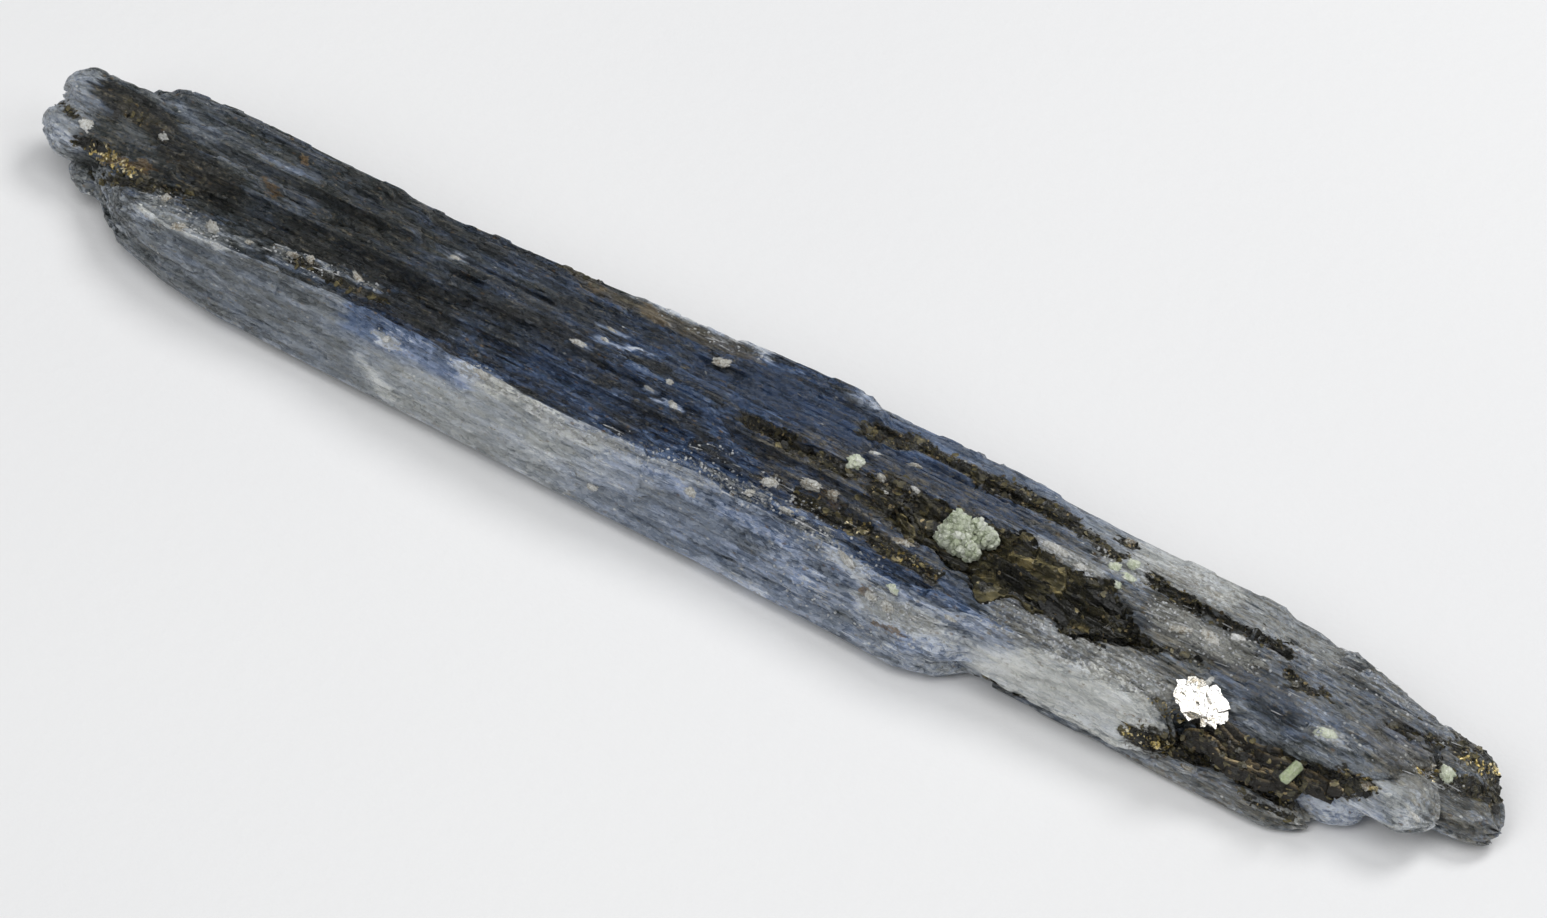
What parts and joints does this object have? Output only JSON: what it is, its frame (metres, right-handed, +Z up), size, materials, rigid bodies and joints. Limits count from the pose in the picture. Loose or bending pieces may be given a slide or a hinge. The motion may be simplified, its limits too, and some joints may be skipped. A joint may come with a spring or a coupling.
{
  "type": "kyanite crystal",
  "caption": "Long dark-blue kyanite crystal blade, splintered into parallel blades at both ends, with mica and pale green grains in its hollows, lying on its flat side.",
  "frame": {"origin": "middle of the part's box, at the height of the flat underside it lies on", "axes": "+X along the blade towards its mica-rich splintered end, +Y towards the back edge, +Z up"},
  "size_m": [0.055, 0.0082, 0.004],
  "materials": {
    "kyanite": "striated, pearly to glassy on cleavage faces",
    "dark_mica": "glossy flat plates, black to olive brown",
    "bronze_mica": "glossy stepped sheets with bronze edges",
    "silver_mica": "bright mirror-like flake",
    "green_grains": "sugary, translucent",
    "pale_prism": "glassy, translucent"
  },
  "bodies": {
    "root": {"kyanite_crystal": "kyanite", "dark_mica_crust": "dark_mica", "bronze_mica": "bronze_mica", "silver_mica_flake": "silver_mica", "green_grain_cluster": "green_grains", "pale_green_prism": "pale_prism"}
  },
  "joints": []
}
